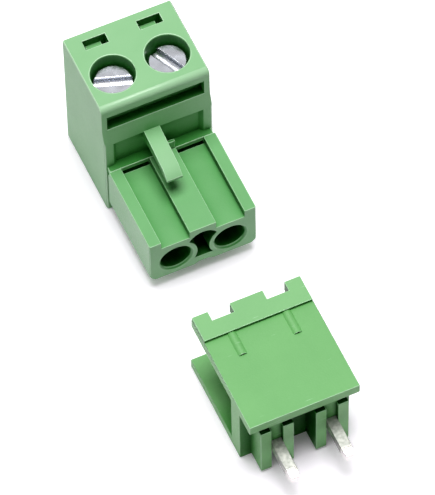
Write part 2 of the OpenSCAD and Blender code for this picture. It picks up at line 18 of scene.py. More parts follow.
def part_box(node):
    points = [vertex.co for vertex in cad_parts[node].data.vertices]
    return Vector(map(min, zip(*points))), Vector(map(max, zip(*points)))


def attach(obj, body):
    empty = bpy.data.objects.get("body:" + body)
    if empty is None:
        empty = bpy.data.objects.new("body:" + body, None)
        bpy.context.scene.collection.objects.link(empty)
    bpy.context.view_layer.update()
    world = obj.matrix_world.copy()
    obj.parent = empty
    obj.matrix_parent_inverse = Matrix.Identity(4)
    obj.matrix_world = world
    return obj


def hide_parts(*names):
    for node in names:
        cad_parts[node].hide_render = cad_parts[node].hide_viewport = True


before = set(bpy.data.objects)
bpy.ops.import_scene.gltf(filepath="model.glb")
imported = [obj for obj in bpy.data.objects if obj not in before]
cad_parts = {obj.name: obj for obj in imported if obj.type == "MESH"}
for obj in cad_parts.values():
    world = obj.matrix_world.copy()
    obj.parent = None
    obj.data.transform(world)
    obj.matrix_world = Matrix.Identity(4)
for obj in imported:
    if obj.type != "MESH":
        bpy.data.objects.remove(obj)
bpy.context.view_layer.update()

MM = 0.001
PHOTO_SIZE = (435, 495)
# Most values of a noise texture lie in this span
NOISE_SPAN = {"From Min": 0.3, "From Max": 0.7}
# The phase of a wave texture runs by this many radians for each unit of scaled length
WAVE_RADIANS = 20.0
# Rays that each occlusion node sends out
OCCLUSION_RAYS = 16
# Mesh attributes that the mouldings' finish reads for its painted highlights and shade: rounded edges, and
# faces that the light reaches
EDGE_MARK = "edge"
LIT_MARK = "lit"
log = logging.getLogger("terminal_block")

Colour = tuple[float, float, float, float]
Inputs = dict[str | int, object]
Material = bpy.types.Material
Mesh = bpy.types.Mesh
Object = bpy.types.Object
Socket = bpy.types.NodeSocket
Tree = bpy.types.NodeTree


class Pole(Enum):
    """The two poles, by the side of the block that they are on."""

    LEFT = "left"
    RIGHT = "right"


class Slot(Enum):
    """The record's material slots."""

    PLASTIC = "moulded_green"
    STEEL = "zinc_steel"
    TIN = "tinned_brass"


class Facet(IntEnum):
    """Kinds of face on a rounded copy, which are its material numbers until it gets its finish."""

    FLAT = 0
    ROUNDED = 1
    FILLET = 2


# Share of the painted edge highlight, and of the edges' polish, that each kind of face has
EDGE_SHARE = {Facet.FLAT: 0.0, Facet.ROUNDED: 1.0, Facet.FILLET: 0.5}


class Mix(IntEnum):
    """Input numbers of a mix node, whose inputs share their names."""

    SHARE = 0
    VALUE_A = 2
    VALUE_B = 3
    COLOUR_A = 6
    COLOUR_B = 7


# Number of a mix node's colour output, because its outputs share their name too
MIXED_COLOUR = 2


def linear(code: str) -> Colour:
    """Turn an sRGB hex colour into linear light.

    Args:
        code: A hash sign and six hex digits.

    Returns:
        Linear red, green and blue, and an alpha of one.
    """
    parts = [int(code[i : i + 2], 16) / 255 for i in (1, 3, 5)]
    lit = [c / 12.92 if c <= 0.04045 else ((c + 0.055) / 1.055) ** 2.4 for c in parts]
    return (lit[0], lit[1], lit[2], 1.0)


def per_metre(size_mm: float) -> float:
    """Texture scale at which one feature of a pattern is size_mm long."""
    return 1 / (size_mm * MM)


def add(tree: Tree, kind: str, inputs: Inputs | None = None, **settings: object) -> bpy.types.Node:
    """Add a node to a tree with its settings, values and links.

    Args:
        tree: The tree that gets the node.
        kind: The node's type.
        inputs: A value, or an output socket to link, for each input by name or number.
        settings: Properties of the node.

    Returns:
        The new node.
    """
    node = tree.nodes.new(kind)
    for key, value in settings.items():
        setattr(node, key, value)
    for key, value in (inputs or {}).items():
        if isinstance(value, Socket):
            tree.links.new(value, node.inputs[key])
        else:
            node.inputs[key].default_value = value
    return node


def blank_material(name: str) -> tuple[Material, Tree]:
    """Make a node material with an empty tree.

    Args:
        name: The material's name.

    Returns:
        The material and its tree.
    """
    made = bpy.data.materials.new(name)
    made.use_nodes = True
    made.node_tree.nodes.clear()
    return made, made.node_tree


@dataclass(frozen=True)
class MouldedPolyamide:
    """Polyamide 66, injection moulded in a spark-eroded tool.

    The tool leaves a fine matt grain and the flow leaves faint clouds in the colour. The edges are
    smoother, and paler with a painted highlight that is strongest where the light reaches them. In slots
    and corners
    the green is painted deeper and darker: painted shade, lighter on faces that the light reaches.

    Attributes:
        name: The material's name.
        deep: The deeper colour of the clouds.
        pale: The paler colour of the clouds.
        edge: The colour of the painted highlight on edges, and of scuffs and rubbed places.
        lee_edge: Share of the painted highlight on edges that the light doesn't reach.
        crevice_mm: How far a wall reaches with the painted shade, and the loss of shine, beside it.
        crevice_painted_shade: How much the painted shade deepens the green at the bottom of a crevice.
        lit_painted_shade: The same, for faces that the light reaches.
        cloud_mm: Size of the clouds.
        grain_mm: Size of the grain.
        grain_depth_mm: Depth of the grain.
        scuff_mm: Width of a scuff.
        scuff_run: Width of a scuff over its length.
        scuff_from: Noise value at which a scuff starts.
        scuff_full: Noise value at which it is at its palest.
        scuffed: Share of the edges' colour in a scuff.
        proud_mm: Height over which the skin is rubbed, out of reach unless it is set.
        proud_fade_mm: Height in which the rubbing sets in.
        rubbed: Share of the edges' colour where the skin is rubbed.
        polished: Roughness of the edges.
        smooth: Least roughness of the grain.
        matt: Greatest roughness of the grain.
        specular: Specular level in the open, which falls to none in a crevice.
        ior: Index of refraction.
    """

    name: str
    deep: str
    pale: str
    edge: str = "#A9DBA9"
    lee_edge: float = 0.45
    crevice_mm: float = 3.0
    crevice_painted_shade: float = 3.0
    lit_painted_shade: float = 0.5
    cloud_mm: float = 3.2
    grain_mm: float = 0.16
    grain_depth_mm: float = 0.008
    scuff_mm: float = 0.12
    scuff_run: float = 0.08
    scuff_from: float = 0.8
    scuff_full: float = 0.86
    scuffed: float = 0.0
    proud_mm: float = 1000.0
    proud_fade_mm: float = 0.05
    rubbed: float = 0.2
    polished: float = 0.27
    smooth: float = 0.44
    matt: float = 0.58
    specular: float = 0.5
    ior: float = 1.53

    def material(self) -> Material:
        """Build the material: clouded green, painted edge highlights and crevice shade, and a grain in
        gloss and relief.

        Returns:
            The material.
        """
        # To the eye: a satin green, never quite even, with painted highlights on its edges and painted
        # shade in its slots
        made, tree = blank_material(self.name)
        place = add(tree, "ShaderNodeTexCoord").outputs["Object"]
        edge = add(tree, "ShaderNodeAttribute", attribute_name=EDGE_MARK).outputs["Fac"]
        lit = add(tree, "ShaderNodeAttribute", attribute_name=LIT_MARK).outputs["Fac"]
        # Occlusion within the piece, which steers the painted crevice shade and the loss of shine
        openness = add(
            tree,
            "ShaderNodeAmbientOcclusion",
            {"Distance": self.crevice_mm * MM},
            samples=OCCLUSION_RAYS,
            only_local=True,
        ).outputs["AO"]
        # The real grain is about 0.03 mm, which the picture can't show, so it is drawn coarser
        grain = add(
            tree,
            "ShaderNodeTexNoise",
            {"Vector": place, "Scale": per_metre(self.grain_mm), "Detail": 2.0},
        )
        gloss = add(
            tree,
            "ShaderNodeMapRange",
            {"Value": grain.outputs[0], **NOISE_SPAN, "To Min": self.smooth, "To Max": self.matt},
        )
        # A fillet is as smooth as a whole edge
        whole = 1 / EDGE_SHARE[Facet.FILLET]
        bent = add(tree, "ShaderNodeMath", {0: edge, 1: whole}, operation="MULTIPLY", use_clamp=True)
        polish = add(
            tree,
            "ShaderNodeMix",
            {Mix.SHARE: bent.outputs[0], Mix.VALUE_A: gloss.outputs[0], Mix.VALUE_B: self.polished},
        )
        shine = add(tree, "ShaderNodeMapRange", {"Value": openness, "To Max": self.specular})
        relief = add(
            tree,
            "ShaderNodeBump",
            {"Height": grain.outputs[0], "Distance": self.grain_depth_mm * MM, "Strength": 1.0},
        )
        shader = add(
            tree,
            "ShaderNodeBsdfPrincipled",
            {
                "Base Color": self.colour(tree, place, edge, lit, openness),
                "Specular IOR Level": shine.outputs[0],
                "Roughness": polish.outputs[0],
                "Normal": relief.outputs[0],
                "IOR": self.ior,
            },
        )
        add(tree, "ShaderNodeOutputMaterial", {"Surface": shader.outputs[0]})
        return made

    def colour(self, tree: Tree, place: Socket, edge: Socket, lit: Socket, openness: Socket) -> Socket:
        """Colour the skin: clouds, then painted edge highlights and worn places, then painted shade in
        crevices.

        Args:
            tree: The material's tree.
            place: Object coordinates.
            edge: How much of an edge a face is.
            lit: How much of the light reaches a face.
            openness: How open the place is.

        Returns:
            The colour.
        """
        clouds = add(
            tree,
            "ShaderNodeTexNoise",
            {"Vector": place, "Scale": per_metre(self.cloud_mm), "Detail": 4.0},
        )
        body = add(
            tree,
            "ShaderNodeMix",
            {
                Mix.SHARE: clouds.outputs[0],
                Mix.COLOUR_A: linear(self.deep),
                Mix.COLOUR_B: linear(self.pale),
            },
            data_type="RGBA",
        )
        skin = add(
            tree,
            "ShaderNodeMix",
            {
                Mix.SHARE: self.paint_highlight_and_wear(tree, place, edge, lit),
                Mix.COLOUR_A: body.outputs[MIXED_COLOUR],
                Mix.COLOUR_B: linear(self.edge),
            },
            data_type="RGBA",
        )
        # Painted shade: a gamma darkens and deepens the green where the place is closed, less on faces the
        # light reaches
        bottom = add(
            tree,
            "ShaderNodeMapRange",
            {"Value": lit, "To Min": 1 + self.crevice_painted_shade, "To Max": 1 + self.lit_painted_shade},
        )
        shade_gamma = add(
            tree,
            "ShaderNodeMapRange",
            {"Value": openness, "To Min": bottom.outputs[0], "To Max": 1.0},
        )
        shade = {"Color": skin.outputs[MIXED_COLOUR], "Gamma": shade_gamma.outputs[0]}
        return add(tree, "ShaderNodeGamma", shade).outputs[0]

    def paint_highlight_and_wear(self, tree: Tree, place: Socket, edge: Socket, lit: Socket) -> Socket:
        """Find where the skin is pale: a painted highlight on edges, strongest where the light reaches
        them, and wear in scuffs and on what stands proud.

        Args:
            tree: The material's tree.
            place: Object coordinates.
            edge: How much of an edge a face is.
            lit: How much of the light reaches a face.

        Returns:
            The share of the edges' colour.
        """
        # Painted highlight: an edge is paler where the light reaches it
        catch = add(tree, "ShaderNodeMapRange", {"Value": lit, "To Min": self.lee_edge, "To Max": 1.0})
        highlight_and_wear = add(tree, "ShaderNodeMath", {0: edge, 1: catch.outputs[0]}, operation="MULTIPLY")
        drawn = add(tree, "ShaderNodeMapping", {"Vector": place, "Scale": Vector((self.scuff_run, 1, 1))})
        marks = add(
            tree,
            "ShaderNodeTexNoise",
            {"Vector": drawn.outputs[0], "Scale": per_metre(self.scuff_mm), "Detail": 0.0},
        )
        scuffs = add(
            tree,
            "ShaderNodeMapRange",
            {
                "Value": marks.outputs[0],
                "From Min": self.scuff_from,
                "From Max": self.scuff_full,
                "To Max": self.scuffed,
            },
        )
        proud = add(
            tree,
            "ShaderNodeMapRange",
            {
                "Value": add(tree, "ShaderNodeSeparateXYZ", {0: place}).outputs["Z"],
                "From Min": self.proud_mm * MM,
                "From Max": (self.proud_mm + self.proud_fade_mm) * MM,
                "To Max": self.rubbed,
            },
        )
        for mark in (scuffs, proud):
            both = {0: highlight_and_wear.outputs[0], 1: mark.outputs[0]}
            highlight_and_wear = add(tree, "ShaderNodeMath", both, operation="MAXIMUM")
        return highlight_and_wear.outputs[0]


@dataclass(frozen=True)
class TurnedZincSteel:
    """Steel turned on a lathe and plated with bright zinc.

    Attributes:
        name: The material's name.
        axis: A point of the axis that the rings lie round.
        pale: The paler colour of the plating.
        dull: The duller colour of the plating.
        ring_mm: Feed of the lathe.
        ring_depth_mm: Depth of the rings.
        cloud_mm: Size of the clouds in the plating.
        smooth: Roughness where the plating is pale.
        matt: Roughness where it is dull.
    """

    name: str
    axis: Vector
    pale: str = "#E6E8EE"
    dull: str = "#CBCED8"
    ring_mm: float = 0.16
    ring_depth_mm: float = 0.0025
    cloud_mm: float = 0.9
    smooth: float = 0.16
    matt: float = 0.3

    def material(self) -> Material:
        """Build the material: clouded plating over turning rings centred on the axis.

        Returns:
            The material.
        """
        # To the eye: a bright, cool silver with soft rings that catch the light
        made, tree = blank_material(self.name)
        place = add(tree, "ShaderNodeTexCoord").outputs["Object"]
        centred = add(tree, "ShaderNodeMapping", {"Vector": place, "Location": -self.axis})
        # One ring takes two pi radians, so the rings are drawn about six times as coarse as the feed:
        # finer ones don't show
        rings = add(
            tree,
            "ShaderNodeTexWave",
            {
                "Vector": centred.outputs[0],
                "Scale": per_metre(self.ring_mm) / WAVE_RADIANS,
                "Distortion": 1.2,
                "Detail": 2.0,
            },
            wave_type="RINGS",
            rings_direction="Z",
        )
        clouds = add(
            tree,
            "ShaderNodeTexNoise",
            {"Vector": place, "Scale": per_metre(self.cloud_mm), "Detail": 5.0},
        )
        colour = add(
            tree,
            "ShaderNodeMix",
            {
                Mix.SHARE: clouds.outputs[0],
                Mix.COLOUR_A: linear(self.dull),
                Mix.COLOUR_B: linear(self.pale),
            },
            data_type="RGBA",
        )
        gloss = add(
            tree,
            "ShaderNodeMapRange",
            {"Value": clouds.outputs[0], **NOISE_SPAN, "To Min": self.matt, "To Max": self.smooth},
        )
        relief = add(
            tree,
            "ShaderNodeBump",
            {"Height": rings.outputs["Fac"], "Distance": self.ring_depth_mm * MM, "Strength": 1.0},
        )
        shader = add(
            tree,
            "ShaderNodeBsdfPrincipled",
            {
                "Base Color": colour.outputs[MIXED_COLOUR],
                "Roughness": gloss.outputs[0],
                "Normal": relief.outputs[0],
                "Metallic": 1.0,
            },
        )
        add(tree, "ShaderNodeOutputMaterial", {"Surface": shader.outputs[0]})
        return made


@dataclass(frozen=True)
class DrawnTin:
    """Brass drawn or rolled along Y and tin plated.

    Along a span of a solder tail the tin is painted darker in blotches, and is rougher: painted shade and a
    painted dark reflection of the housing over it. The tail's tip is left bright.

    Attributes:
        name: The material's name.
        pale: The paler colour of the tin.
        dull: The duller colour of the tin.
        tarnish_shade: The darker colour of the painted shade.
        blotch_mm: Size of the blotches of that shade.
        blotch_from: Noise value at which the painted shade deepens.
        blotch_full: Noise value at which it is at its darkest.
        blotch_least: Share of the shade's colour where it is lightest.
        shade_from_mm: Place along Y where the painted shade starts, out of reach unless it is set.
        shade_to_mm: Place along Y where it ends.
        shaded_roughness: Roughness where the tail is shaded.
        line_mm: Width of the drawing lines.
        line_run: Width of a line over its length.
        line_depth_mm: Depth of the lines.
        smooth: Roughness where the tin is pale.
        matt: Roughness where it is dull.
    """

    name: str
    pale: str = "#DEDCD6"
    dull: str = "#CBC9C2"
    tarnish_shade: str = "#8F918B"
    blotch_mm: float = 0.35
    blotch_from: float = 0.35
    blotch_full: float = 0.6
    blotch_least: float = 0.65
    shade_from_mm: float = -1000.0
    shade_to_mm: float = -1000.0
    shaded_roughness: float = 0.4
    line_mm: float = 0.09
    line_run: float = 0.04
    line_depth_mm: float = 0.0006
    smooth: float = 0.16
    matt: float = 0.28

    def material(self) -> Material:
        """Build the material: drawing lines in colour, gloss and relief, and the painted shade over them.

        Returns:
            The material.
        """
        # To the eye: a warm, soft silver, streaked along its length and painted greyer where the housing
        # shades it
        made, tree = blank_material(self.name)
        place = add(tree, "ShaderNodeTexCoord").outputs["Object"]
        drawn = add(tree, "ShaderNodeMapping", {"Vector": place, "Scale": Vector((1, self.line_run, 1))})
        lines = add(
            tree,
            "ShaderNodeTexNoise",
            {"Vector": drawn.outputs[0], "Scale": per_metre(self.line_mm), "Detail": 3.0},
        )
        colour = add(
            tree,
            "ShaderNodeMix",
            {
                Mix.SHARE: lines.outputs[0],
                Mix.COLOUR_A: linear(self.dull),
                Mix.COLOUR_B: linear(self.pale),
            },
            data_type="RGBA",
        )
        # Painted shade: a span along Y is darkened in blotches, for the housing's shade and dark reflection
        # on the tail
        along = add(tree, "ShaderNodeSeparateXYZ", {0: place}).outputs["Y"]
        middle = (self.shade_from_mm + self.shade_to_mm) / 2
        half = (self.shade_to_mm - self.shade_from_mm) / 2
        shade_span = add(tree, "ShaderNodeMath", {0: along, 1: middle * MM, 2: half * MM}, operation="COMPARE")
        blotches = add(
            tree,
            "ShaderNodeTexNoise",
            {"Vector": place, "Scale": per_metre(self.blotch_mm), "Detail": 2.0},
        )
        spread = add(
            tree,
            "ShaderNodeMapRange",
            {
                "Value": blotches.outputs[0],
                "From Min": self.blotch_from,
                "From Max": self.blotch_full,
                "To Min": self.blotch_least,
                "To Max": 1.0,
            },
        )
        dark = add(tree, "ShaderNodeMath", {0: shade_span.outputs[0], 1: spread.outputs[0]}, operation="MULTIPLY")
        shaded_tin = add(
            tree,
            "ShaderNodeMix",
            {
                Mix.SHARE: dark.outputs[0],
                Mix.COLOUR_A: colour.outputs[MIXED_COLOUR],
                Mix.COLOUR_B: linear(self.tarnish_shade),
            },
            data_type="RGBA",
        )
        gloss = add(
            tree,
            "ShaderNodeMapRange",
            {"Value": lines.outputs[0], **NOISE_SPAN, "To Min": self.matt, "To Max": self.smooth},
        )
        dulled = add(
            tree,
            "ShaderNodeMix",
            {Mix.SHARE: shade_span.outputs[0], Mix.VALUE_A: gloss.outputs[0], Mix.VALUE_B: self.shaded_roughness},
        )
        relief = add(
            tree,
            "ShaderNodeBump",
            {"Height": lines.outputs[0], "Distance": self.line_depth_mm * MM, "Strength": 1.0},
        )
        shader = add(
            tree,
            "ShaderNodeBsdfPrincipled",
            {
                "Base Color": shaded_tin.outputs[MIXED_COLOUR],
                "Roughness": dulled.outputs[0],
                "Normal": relief.outputs[0],
                "Metallic": 1.0,
            },
        )
        add(tree, "ShaderNodeOutputMaterial", {"Surface": shader.outputs[0]})
        return made


def faces_around(mesh: Mesh) -> list[list[int]]:
    """List the faces at each vertex.

    Args:
        mesh: Any mesh.

    Returns:
        For each vertex the indices of the faces that meet there.
    """
    around: list[list[int]] = [[] for _ in mesh.vertices]
    for face in mesh.polygons:
        for vertex in face.vertices:
            around[vertex].append(face.index)
    return around


def mean_normal(faces: bpy.types.MeshPolygons, own: int, others: list[int], least: float) -> Vector:
    """Average the normals of the faces that turn little from one face.

    Args:
        faces: The mesh's faces.
        own: The index of that one face.
        others: The indices of the faces to average.
        least: The least cosine between its normal and theirs.

    Returns:
        The mean normal, weighed by area.
    """
    near = [faces[i] for i in others if faces[i].normal.dot(faces[own].normal) > least]
    return sum((face.normal * face.area for face in near), Vector()).normalized()


@dataclass(frozen=True)
class EdgeRounding:
    """How the outer edges of a solid are rounded on the copy that stands for it.

    Attributes:
        radius_mm: Width of the rounding where there is room for it.
        segments: Faces across a rounding.
        sharp_deg: Bend over which an edge is sharp.
        steep_deg: Bend over which a narrow face is no bevel, and slope over which a face doesn't look up.
        bevel_mm: Width under which a face of the solid is a bevel.
        fillet_mm: Radius under which a curved face of the solid is a fillet.
        lee_deg: Lean of the light from upright.
        flat_deg: Bend under which faces of the solid are joined.
        share: Share of a face's width that a rounding may take.
        least: Share of the radius under which an edge stays sharp.
        weld_mm: Distance under which points are one point.
    """

    radius_mm: float
    segments: int = 3
    sharp_deg: float = 28.0
    steep_deg: float = 60.0
    bevel_mm: float = 0.25
    fillet_mm: float = 0.8
    lee_deg: float = 15.0
    flat_deg: float = 0.6
    share: float = 0.4
    least: float = 0.12
    weld_mm: float = 0.0005

    def copy_of(self, node: str, name: str) -> Object:
        """Copy a CAD node with its convex edges rounded.

        Args:
            node: The CAD node.
            name: The new piece's name.

        Returns:
            A mesh object at the origin, with attributes that mark edges and lit faces.
        """
        shape = bmesh.new()
        shape.from_mesh(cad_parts[node].data)
        bmesh.ops.scale(shape, vec=(1 / MM,) * 3, verts=shape.verts)
        bmesh.ops.remove_doubles(shape, verts=shape.verts, dist=self.weld_mm)
        bmesh.ops.dissolve_limit(
            shape, angle_limit=math.radians(self.flat_deg), verts=shape.verts, edges=shape.edges
        )
        self.weigh(shape)
        mesh = bpy.data.meshes.new(name)
        shape.to_mesh(mesh)
        shape.free()
        # The solid's own normals would hide the rounding
        for layer in [a for a in mesh.attributes if a.name == "custom_normal"]:
            mesh.attributes.remove(layer)
        piece = bpy.data.objects.new(name, mesh)
        bpy.context.scene.collection.objects.link(piece)
        self.round_off(piece)
        return piece

    def weigh(self, shape: bmesh.types.BMesh) -> None:
        """Give each convex edge the share of the radius that its two faces have room for.

        A narrow bevel of the solid needs no more rounding: it is marked as a rounded edge itself, and
        a curve of small radius as a fillet.

        Args:
            shape: The mesh in millimetres, whose other sharp edges are marked sharp.
        """
        weight = shape.edges.layers.float.new("bevel_weight_edge")
        sharp, steep = math.radians(self.sharp_deg), math.radians(self.steep_deg)
        for face in shape.faces:
            face.smooth = True
        for edge in shape.edges:
            bend = edge.calc_face_angle_signed(0.0)
            edge.smooth = abs(bend) < sharp
            if 0 < bend < sharp:
                for face in edge.link_faces:
                    if face.calc_area() < self.fillet_mm * bend * edge.calc_length():
                        face.material_index = Facet.FILLET
            if bend > sharp:
                room, side = min((self.room(loop, sharp), i) for i, loop in enumerate(edge.link_loops))
                slim = edge.link_loops[side].face
                width = 2 * slim.calc_area() / slim.calc_perimeter()
                if bend < steep and max(room, width) < self.bevel_mm:
                    slim.material_index = Facet.ROUNDED
                    edge.smooth = True
                    continue
                given = min(1.0, self.share * room / self.radius_mm)
                edge[weight] = given if given > self.least else 0.0
                edge.smooth = edge[weight] > 0

    def room(self, loop: bmesh.types.BMLoop, sharp: float) -> float:
        """Measure how wide a face is behind one of its edges.

        Args:
            loop: The face's loop along that edge.
            sharp: The bend in radians over which another edge bounds the face.

        Returns:
            The least distance in millimetres across the face to an edge that bounds it.
        """
        ends = (loop.vert, loop.link_loop_next.vert)
        start, length = ends[0].co, loop.edge.calc_length()
        along = (ends[1].co - start) / length
        inward = loop.face.normal.cross(along)
        found = [math.inf]
        for other in loop.face.loops:
            a, b = other.vert, other.link_loop_next.vert
            if a in ends or b in ends or abs(other.edge.calc_face_angle(0.0)) < sharp:
                continue
            s, t = (a.co - start).dot(along), (b.co - start).dot(along)
            if max(s, t) <= self.weld_mm or min(s, t) >= length - self.weld_mm:
                continue
            heights = (a.co - start).dot(inward), (b.co - start).dot(inward)
            for stop in (s, t):
                part = (min(max(stop, 0), length) - s) / (t - s) if abs(t - s) > self.weld_mm else 0
                found.append(heights[0] + (heights[1] - heights[0]) * part)
        return min(h for h in found if h > self.weld_mm)

    def round_off(self, piece: Object) -> None:
        """Bevel the weighed edges, mark the new faces and bring the mesh back to metres.

        Args:
            piece: The object, whose mesh is in millimetres and is replaced.
        """
        for facet in Facet:
            label = facet.name.lower()
            piece.data.materials.append(bpy.data.materials.get(label) or bpy.data.materials.new(label))
        bevel = piece.modifiers.new("rounding", "BEVEL")
        bevel.limit_method = "WEIGHT"
        bevel.width = self.radius_mm
        bevel.segments = self.segments
        bevel.use_clamp_overlap = False
        bevel.material = Facet.ROUNDED
        bake(piece)
        mesh = piece.data
        self.settle_normals(mesh)
        mark = mesh.attributes.new(EDGE_MARK, "FLOAT", "FACE")
        mark.data.foreach_set("value", [EDGE_SHARE[face.material_index] for face in mesh.polygons])
        self.mark_lit(mesh)
        mesh.materials.clear()
        mesh.transform(Matrix.Scale(MM, 4))

    def mark_lit(self, mesh: Mesh) -> None:
        """Mark the faces that look up and stand in no lee of their own piece.

        The light comes from over the back, but an edge also shows what comes from the front.

        Args:
            mesh: The mesh in millimetres, which gets an attribute that runs smoothly over curved faces.
        """
        faces = mesh.polygons
        lean = math.tan(math.radians(self.lee_deg))
        shape = BVHTree.FromPolygons([v.co for v in mesh.vertices], [f.vertices for f in faces])
        least = math.cos(math.radians(self.steep_deg))
        like = math.cos(math.radians(self.sharp_deg))
        lit = []
        for face in faces:
            up = Vector((0, lean if face.material_index == Facet.FLAT else -lean, 1))
            free = shape.ray_cast(face.center + face.normal * self.weld_mm, up)[0] is None
            lit.append(float(free and face.normal.z > least))
        around = faces_around(mesh)
        mark = mesh.attributes.new(LIT_MARK, "FLOAT", "CORNER")
        for face in faces:
            for corner, vertex in zip(face.loop_indices, face.vertices):
                kin = [i for i in around[vertex] if faces[i].material_index == face.material_index]
                near = [lit[i] for i in kin if faces[i].normal.dot(face.normal) > like]
                mark.data[corner].value = sum(near) / max(1, len(near))

    def settle_normals(self, mesh: Mesh) -> None:
        """Keep flats flat and curves smooth, and let each rounded edge run into the faces beside it.

        Args:
            mesh: The bevelled mesh.
        """
        like = math.cos(math.radians(self.sharp_deg))
        near = math.cos(math.radians(self.steep_deg))
        faces = mesh.polygons
        around = faces_around(mesh)
        normals = []
        for face in faces:
            for vertex in face.vertices:
                plain = [i for i in around[vertex] if faces[i].material_index == Facet.FLAT]
                if face.material_index == Facet.FLAT:
                    normals.append(mean_normal(faces, face.index, plain, like))
                    continue
                beside = max(plain, key=lambda i: faces[i].normal.dot(face.normal), default=face.index)
                if beside != face.index and faces[beside].normal.dot(face.normal) > near:
                    normals.append(mean_normal(faces, beside, plain, like))
                else:
                    normals.append(mean_normal(faces, face.index, around[vertex], near))
        mesh.normals_split_custom_set(normals)


def bake(piece: Object) -> None:
    """Turn an object's modifiers into a plain mesh.

    Args:
        piece: The object, which keeps its name and loses its modifiers.
    """
    graph = bpy.context.evaluated_depsgraph_get()
    graph.update()
    old = piece.data
    made = bpy.data.meshes.new_from_object(piece.evaluated_get(graph), depsgraph=graph)
    piece.modifiers.clear()
    piece.data = made
    bpy.data.meshes.remove(old)
    made.name = piece.name


def dress(piece: Object, finish: Material, node: str, body: str) -> Object:
    """Give a piece its finish and put it in the place of a CAD node.

    Args:
        piece: The finished mesh object.
        finish: Its material.
        node: The CAD node that it stands for.
        body: The CAD body that it rides on.

    Returns:
        The piece.
    """
    piece.data.materials.clear()
    piece.data.materials.append(finish)
    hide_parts(node)
    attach(piece, body)
    log.info("%s stands for %s on %s: %d faces", piece.name, node, body, len(piece.data.polygons))
    return piece


@dataclass
class ClampScrew:
    """One slotted clamp screw: the turned head of the CAD solid, with a thread on its shank.

    Attributes:
        pole: The pole that it clamps.
        pitch_mm: Pitch of the thread.
        depth_mm: Depth of the thread.
        flank_mm: Half of the ridge's width at its root.
        runout_mm: Plain length at each end of the thread.
        steps_per_turn: Steps in one turn of the thread.
        rounding: How the screw's edges are rounded.
    """

    pole: Pole
    pitch_mm: float = 0.5
    depth_mm: float = 0.27
    flank_mm: float = 0.22
    runout_mm: float = 0.35
    steps_per_turn: int = 36
    rounding: EdgeRounding = EdgeRounding(radius_mm=0.05, segments=2)

    @property
    def node(self) -> str:
        """Name of the CAD node."""
        return f"clamp_screw_{self.pole.value}"

    def build(self) -> Object:
        """Make the screw with its thread and dress it.

        Returns:
            The finished piece.
        """
        low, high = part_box(self.node)
        axis = Vector(((low.x + high.x) / 2, (low.y + high.y) / 2, 0))
        piece = self.rounding.copy_of(self.node, f"{self.pole.value}_screw")
        finish = TurnedZincSteel(f"{self.pole.value}_screw_zinc_steel", axis).material()
        crest, head_z = self.waist_shank(piece.data, axis)
        self.wind_thread(piece, finish, axis, crest, low.z, head_z)
        return dress(piece, finish, self.node, f"{self.pole.value}_screw")

    def waist_shank(self, mesh: Mesh, axis: Vector) -> tuple[float, float]:
        """Turn the shank down to the root of its thread.

        Args:
            mesh: The screw's mesh, in metres.
            axis: A point of the screw's axis.

        Returns:
            The radius of the thread's crest and the height of the head's underside.
        """
        radii = [Vector((v.co.x - axis.x, v.co.y - axis.y)).length for v in mesh.vertices]
        middle = sum(v.co.z for v in mesh.vertices) / len(mesh.vertices)
        bottom = min(v.co.z for v in mesh.vertices)
        shank = max(r for r, v in zip(radii, mesh.vertices) if v.co.z < (middle + bottom) / 2)
        head_z = min(v.co.z for r, v in zip(radii, mesh.vertices) if r > shank + self.depth_mm * MM / 2)
        for radius, vertex in zip(radii, mesh.vertices):
            if vertex.co.z < head_z - self.runout_mm * MM / 2 and radius > 0:
                new = min(radius, shank - self.depth_mm * MM)
                vertex.co.xy = axis.xy + (vertex.co.xy - axis.xy) * (new / radius)
        return shank, head_z

    def wind_thread(
        self, piece: Object, finish: Material, axis: Vector, crest: float, low: float, high: float
    ) -> None:
        """Wind the thread's ridge round the shank.

        Args:
            piece: The screw, which gets the ridge.
            finish: The screw's material.
            axis: A point of the screw's axis.
            crest: The radius of the ridge's crest.
            low: The height of the screw's end.
            high: The height of the head's underside.
        """
        room = high - low - 2 * self.runout_mm * MM
        values = {
            "Pitch": self.pitch_mm * MM,
            "Turns": math.floor(room / (self.pitch_mm * MM)),
            "Steps": self.steps_per_turn,
            "Root Radius": crest - self.depth_mm * MM,
            "Depth": self.depth_mm * MM,
            "Flank": self.flank_mm * MM,
            "Foot": Vector((axis.x, axis.y, low + self.runout_mm * MM)),
            "Finish": finish,
        }
        tree = thread_tree()
        winding = piece.modifiers.new("thread", "NODES")
        winding.node_group = tree
        for item in tree.interface.items_tree:
            if item.name in values:
                winding[item.identifier] = values[item.name]
        bake(piece)


